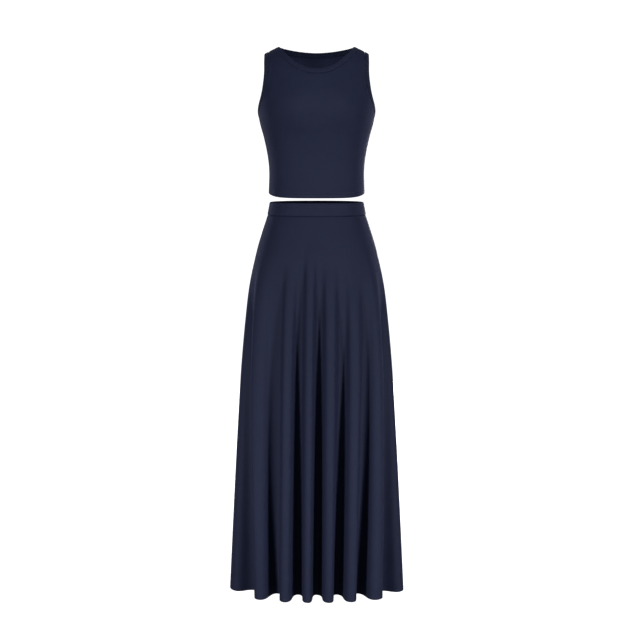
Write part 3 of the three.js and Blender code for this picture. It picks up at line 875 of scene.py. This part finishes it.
# %% Rows of stitches
SPINDLE = [(-0.62, 0.72), (0, 1.0), (0.62, 0.72)]  # place along the stitch, radius
PITCH = 3.0  # from one stitch to the next
STITCH_REACH = 0.41  # half a stitch, as a share of the pitch
THREAD_RADIUS = 0.26


def spindle_mesh():
    """Points and faces of one stitch, one unit long to each side and one unit thick."""
    sides = 6
    points = [(-1.0, 0, -0.35)]
    for x, r in SPINDLE:
        for k in range(sides):
            angle = 2 * math.pi * k / sides
            points.append((x, r * math.cos(angle), r * math.sin(angle) + 0.35 * (1 - x * x) - 0.2))
    points.append((1.0, 0, -0.35))
    faces = [(0, 1 + (k + 1) % sides, 1 + k) for k in range(sides)]
    for ring in range(2):
        low = 1 + ring * sides
        for k in range(sides):
            m = (k + 1) % sides
            faces.append((low + k, low + m, low + sides + m, low + sides + k))
    last = len(points) - 1
    faces += [(last - sides + k, last - sides + (k + 1) % sides, last) for k in range(sides)]
    return np.array(points), faces


STITCH_POINTS, STITCH_FACES = spindle_mesh()
stitched = []


def stitch_row(name, surface, line, lift, body):
    """A row of stitches all round, along a line of places on a surface."""
    u, v = line
    u, v = np.append(u, u[0] + (u[-1] - u[0]) + (u[1] - u[0])), np.append(v, v[0])
    length = distances(surface(u, v)[None], 1)[0, -1]
    count = int(length / PITCH)
    u, v = evenly(surface, u, v, 2 * count + 1)
    points = lifted(surface, u, v, np.full(len(u), lift))
    _, normal, _, _ = frame_of(surface, u[1::2], v[1::2])
    along = (points[2::2] - points[:-1:2]) * STITCH_REACH
    middle = points[1::2]
    side = np.cross(normal, along)
    side /= np.linalg.norm(side, axis=-1, keepdims=True)
    a, b, c = STITCH_POINTS.T
    shape = (
        middle[:, None]
        + along[:, None] * a[:, None]
        + side[:, None] * (b * THREAD_RADIUS)[:, None]
        + normal[:, None] * (c * THREAD_RADIUS)[:, None]
    )
    firsts = range(0, count * len(STITCH_POINTS), len(STITCH_POINTS))
    faces = [tuple(first + p for p in face) for first in firsts for face in STITCH_FACES]
    mesh = bpy.data.meshes.new(name)
    mesh.from_pydata((shape.reshape(-1, 3) * MM).tolist(), [], faces)
    piece = add_object(name, mesh)
    face_outwards(piece)
    bpy.ops.object.shade_smooth()
    stitched.append(piece)
    keep(piece, body, "jersey")


def level_line(surface, low, high, v, distance):
    """A ring a distance above a ring of the surface."""
    u = np.linspace(low, high, 1600, endpoint=False)
    start = (u, np.full(1600, float(v)))
    return walk(surface, *stations_of(surface, start), [distance])[0]


RIGHT, RIGHT_AGAIN = -math.pi / 2, 1.5 * math.pi  # all round a body, from the wearer's right
top_line = level_line(top_surface, RIGHT, RIGHT_AGAIN, 0, TOP_HEM - 1.6)
skirt_line = level_line(skirt_surface, RIGHT_SEAM, RIGHT_SEAM + len(FOLDS), 0, SKIRT_HEM - 1.4)
waist_line = level_line(waist_surface, RIGHT, RIGHT_AGAIN, WAIST_SEAM, WAIST_STITCH)
stitch_row("top_hem_stitches", top_surface, top_line, 1.08, "top")
stitch_row("skirt_hem_stitches", skirt_surface, skirt_line, 1.08, "skirt")
stitch_row("waist_stitches", waist_surface, waist_line, 1.95, "skirt")

# %% [markdown]
# ## Materials
# The cloth is a navy double knit: matt, with a faint bloom of fibres that turns lighter where
# the surface turns away. Close up it is made of small loops in upright columns. One node group
# draws those loops, and both the jersey and the rib use it, at their own scale. It reads the
# cloth's own UV map, which is in metres, so the loops follow the sheet and keep their size.

# %% Node group for the knit
LOOP_LEAN, LOOP_DEPTH, FUZZ_DEPTH = 0.22, 0.55, 1.6  # the columns' own depth is one
FIBRES, SPECKS, PATCHES = 2600.0, 900.0, 26.0  # per metre
PATCH_SHARE = 0.6  # of the mottle, the specks being the rest


def new_group(name, inputs, outputs):
    group = bpy.data.node_groups.new(name, "ShaderNodeTree")
    for title, kind, value in inputs:
        socket = group.interface.new_socket(title, in_out="INPUT", socket_type=kind)
        if value is not None:
            socket.default_value = value
    for title, kind in outputs:
        group.interface.new_socket(title, in_out="OUTPUT", socket_type=kind)
    start = group.nodes.new("NodeGroupInput")
    end = group.nodes.new("NodeGroupOutput")
    return group, start, end


def maths(tree, operation, first, second=None):
    """A Math node on sockets or numbers, and its result."""
    node = tree.nodes.new("ShaderNodeMath")
    node.operation = operation
    for socket, value in zip(node.inputs, (first, second)):
        if isinstance(value, (int, float)):
            socket.default_value = value
        elif value is not None:
            tree.links.new(value, socket)
    return node.outputs[0]


def settings(node, values):
    """Sets inputs of a node by their names."""
    for title, value in values.items():
        node.inputs[title].default_value = value


def noise(tree, vector, scale, detail=2.0, roughness=0.5):
    node = tree.nodes.new("ShaderNodeTexNoise")
    settings(node, {"Scale": scale, "Detail": detail, "Roughness": roughness})
    tree.links.new(vector, node.inputs["Vector"])
    return node.outputs["Fac"]


def knit_group():
    """Loops of a knit from UVs in metres: their height, and a mask that varies over the cloth."""
    number = "NodeSocketFloat"
    group, start, end = new_group(
        "knit",
        [("Vector", "NodeSocketVector", None), ("Columns per metre", number, 900.0),
         ("Rows per metre", number, 1100.0), ("Rib depth", number, 0.0)],
        [("Height", number), ("Mottle", number)],
    )
    split = group.nodes.new("ShaderNodeSeparateXYZ")
    group.links.new(start.outputs["Vector"], split.inputs[0])
    full_turn = 2 * math.pi

    def times(first, second):
        return maths(group, "MULTIPLY", first, second)

    def plus(first, second):
        return maths(group, "ADD", first, second)

    def cosine(angle):
        return maths(group, "COSINE", angle)

    column = times(split.outputs["X"], start.outputs["Columns per metre"])
    row = times(split.outputs["Y"], start.outputs["Rows per metre"])
    column_angle = times(column, full_turn)
    lean_of_loop = times(cosine(column_angle), LOOP_LEAN)
    row_angle = times(plus(row, lean_of_loop), full_turn)
    wale = cosine(times(column_angle, 2.0))
    knitted = plus(wale, times(maths(group, "SINE", row_angle), LOOP_DEPTH))
    rib = times(cosine(times(column_angle, 0.5)), start.outputs["Rib depth"])
    fibres = noise(group, start.outputs["Vector"], FIBRES, 3.0, 0.65)
    height = plus(plus(knitted, rib), times(fibres, FUZZ_DEPTH))
    group.links.new(height, end.inputs["Height"])
    patches = noise(group, start.outputs["Vector"], PATCHES, 4.0, 0.55)
    specks = noise(group, start.outputs["Vector"], SPECKS, 2.0, 0.7)
    mottle = plus(times(patches, PATCH_SHARE), times(specks, 1 - PATCH_SHARE))
    group.links.new(mottle, end.inputs["Mottle"])
    return group


KNIT = knit_group()

# %% Cloth materials
LOOP_HEIGHT = 0.00012  # metres
ROUGH_RANGE = 0.2  # between the darkest and the lightest of the mottle


def principled(name):
    material = bpy.data.materials.new(name)
    material.use_nodes = True
    return material, material.node_tree, material.node_tree.nodes["Principled BSDF"]


def cloth_place(tree):
    """Places in metres along the rows and columns of the cloth."""
    where = tree.nodes.new("ShaderNodeUVMap")
    where.uv_map = "cloth"
    return where.outputs[0]


def dye(tree, shader, mask, low, high):
    """A base colour that goes from one to another over a mask."""
    ramp = tree.nodes.new("ShaderNodeValToRGB")
    ramp.color_ramp.elements[0].position = 0.3
    ramp.color_ramp.elements[0].color = (*low, 1)
    ramp.color_ramp.elements[1].position = 0.7
    ramp.color_ramp.elements[1].color = (*high, 1)
    tree.links.new(mask, ramp.inputs[0])
    tree.links.new(ramp.outputs[0], shader.inputs["Base Color"])


def bumped(tree, shader, height, strength, distance):
    """Fine relief of the surface, which only the shading sees."""
    node = tree.nodes.new("ShaderNodeBump")
    settings(node, {"Strength": strength, "Distance": distance})
    tree.links.new(height, node.inputs["Height"])
    tree.links.new(node.outputs[0], shader.inputs["Normal"])


def knit_material(name, dark, light, columns, rows, rib_depth, bump, rough):
    material, tree, shader = principled(name)
    knit = tree.nodes.new("ShaderNodeGroup")
    knit.node_tree = KNIT
    scales = {"Columns per metre": columns, "Rows per metre": rows, "Rib depth": rib_depth}
    settings(knit, scales)
    tree.links.new(cloth_place(tree), knit.inputs["Vector"])
    dye(tree, shader, knit.outputs["Mottle"], dark, light)
    bumped(tree, shader, knit.outputs["Height"], bump, LOOP_HEIGHT)
    spread = maths(tree, "MULTIPLY", knit.outputs["Mottle"], ROUGH_RANGE)
    roughness = maths(tree, "ADD", spread, rough - ROUGH_RANGE / 2)
    tree.links.new(roughness, shader.inputs["Roughness"])
    settings(shader, {
        "Specular IOR Level": 0.16,
        "Sheen Weight": 0.07,
        "Sheen Roughness": 0.35,
        "Sheen Tint": (0.62, 0.66, 1.0, 1),
    })
    return material


JERSEY = knit_material(
    "navy_jersey", dark=(0.0098, 0.0131, 0.0350), light=(0.0132, 0.0172, 0.0446),
    columns=900.0, rows=1100.0, rib_depth=0.0, bump=0.35, rough=0.66,
)
RIB = knit_material(
    "navy_rib", dark=(0.0094, 0.0127, 0.0340), light=(0.0128, 0.0168, 0.0434),
    columns=800.0, rows=1000.0, rib_depth=1.4, bump=0.5, rough=0.7,
)

# %% [markdown]
# Thread is shinier than cloth and is twisted, so it gets fine slanted lines. The elastic is a
# braid of upright cords. The ribbon is satin: its floats run one way, so its gloss is stretched.

# %% Thread, elastic and satin


def object_place(tree):
    return tree.nodes.new("ShaderNodeTexCoord").outputs["Object"]


def lined_material(name, place, direction, lines, low, high, bump, rough, stretched_gloss=0.0):
    """Fine lines that run one way, in two close colours: lines is their scale and unevenness."""
    material, tree, shader = principled(name)
    wave = tree.nodes.new("ShaderNodeTexWave")
    wave.bands_direction = direction
    settings(wave, {"Scale": lines[0], "Distortion": lines[1]})
    tree.links.new(place(tree), wave.inputs["Vector"])
    dye(tree, shader, wave.outputs["Fac"], low, high)
    bumped(tree, shader, wave.outputs["Fac"], *bump)
    settings(shader, {"Roughness": rough, "Anisotropic": stretched_gloss})
    return material


ELASTIC = lined_material(
    "black_elastic", cloth_place, "X", (260.0, 0.6),
    low=(0.006, 0.006, 0.009), high=(0.022, 0.022, 0.03), bump=(0.8, 0.0004), rough=0.75,
)
SATIN = lined_material(
    "satin_ribbon", cloth_place, "Y", (420.0, 0.4), low=(0.72, 0.70, 0.66),
    high=(0.82, 0.80, 0.77), bump=(0.25, 0.0001), rough=0.38, stretched_gloss=0.5,
)
THREAD = lined_material(
    "navy_thread", object_place, "DIAGONAL", (900.0, 1.0),
    low=(0.012, 0.014, 0.028), high=(0.020, 0.023, 0.044), bump=(0.4, 0.00008), rough=0.5,
)
FINISHES = {"jersey": JERSEY, "rib": RIB, "elastic": ELASTIC, "label": SATIN}
for piece in pieces.values():
    piece.data.materials.clear()
    piece.data.materials.append(THREAD if piece in stitched else FINISHES[piece["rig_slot"]])
for name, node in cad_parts.items():
    node.data.materials.clear()
    node.data.materials.append(JERSEY)
print("materials:", sorted(m.name for m in bpy.data.materials if m.users))

# %% [markdown]
# ## Light, floor and backdrop
# The garments float a little above a white floor that curves up all round into a white wall,
# as in a shop's catalogue. The paper is bright by itself and throws no light on the cloth, so
# the softboxes alone shape the folds. Two tall ones stand at the sides in front, with narrow
# beams on the skirt: from there the ridges catch the light and the valleys stay dark. A small
# one above lights the chest and the inside of the neck, a broad one lights the back, and two
# weak ones behind draw the thin pale rims.

# %% Floor and backdrop
HEM = CAD_BOX[0][2]
WALL, CURVE, WALL_TOP = 5.5, 1.6, 6.0  # metres
FLOAT_GAP = 0.03
floor_level = HEM - FLOAT_GAP
profile = [(0.0, 0.0), (WALL - CURVE, 0.0)]
for a in np.linspace(0.13, math.pi / 2, 12):
    profile.append((WALL - CURVE + CURVE * math.sin(a), CURVE - CURVE * math.cos(a)))
profile.append((WALL, WALL_TOP))
paper_mesh = bpy.data.meshes.new("floor")
paper_mesh.from_pydata(
    [(0, -r, z + floor_level) for r, z in profile],
    [(k, k + 1) for k in range(len(profile) - 1)], [],
)
floor = add_object("floor", paper_mesh)
only(floor)
bpy.ops.object.mode_set(mode="EDIT")
bpy.ops.mesh.select_all(action="SELECT")
bpy.ops.mesh.spin(steps=96, angle=2 * math.pi, center=(0, 0, 0), axis=(0, 0, 1))
bpy.ops.mesh.select_all(action="SELECT")
bpy.ops.mesh.remove_doubles(threshold=1e-4)
bpy.ops.object.mode_set(mode="OBJECT")
bpy.ops.object.shade_smooth()
paper, tree, shader = principled("paper")
grain = noise(tree, object_place(tree), 3.0)
dye(tree, shader, grain, (0.93, 0.93, 0.93), (0.95, 0.95, 0.95))
settings(shader, {"Roughness": 0.9, "Emission Color": (1, 1, 1, 1), "Emission Strength": 1.0})
floor.data.materials.append(paper)
floor.visible_diffuse = floor.visible_glossy = floor.visible_shadow = False
print("floor", round(floor_level, 3), "m, wall at", WALL, "m")

# %% Lights
ROOM_LIGHT = 0.15
RIM_COLOUR = (0.6, 0.62, 1)
world = bpy.data.worlds.new("studio")
bpy.context.scene.world = world
world.use_nodes = True
room = world.node_tree.nodes["Background"]
settings(room, {"Color": (0.95, 0.97, 1, 1), "Strength": ROOM_LIGHT})


def softbox(name, place, target, size, power, colour=(1, 1, 1), spread=180):
    """A rectangular light: where it is, what it is turned to, its size in metres and its watts."""
    data = bpy.data.lights.new(name, "AREA")
    data.shape = "RECTANGLE"
    data.size, data.size_y = size
    data.energy = power
    data.color = colour
    data.spread = math.radians(spread)
    light = add_object(name, data)
    light.location = place
    light.rotation_mode = "QUATERNION"
    light.rotation_quaternion = (Vector(target) - Vector(place)).to_track_quat("-Z", "Y")


softbox("right_key", (2.15, -2.35, -0.7), (0, 0, -0.72), (0.45, 0.9), 6.0, spread=50)
softbox("left_key", (-1.95, -2.5, -0.7), (0, 0, -0.72), (0.45, 0.9), 5.2, spread=50)
softbox("top_light", (0.3, -2.5, 1.2), (0, 0, 0.42), (0.6, 0.4), 1.25, spread=30)
softbox("back_key", (0.7, 3.2, -0.1), (0, 0, -0.3), (1.0, 2.0), 60)
softbox("right_rim", (1.8, 1.9, 0.0), (0.1, 0, -0.1), (0.4, 0.8), 9, RIM_COLOUR)
softbox("left_rim", (-1.8, 1.9, 0.0), (-0.1, 0, -0.1), (0.4, 0.8), 10, RIM_COLOUR)
bpy.context.scene.view_settings.view_transform = "Standard"
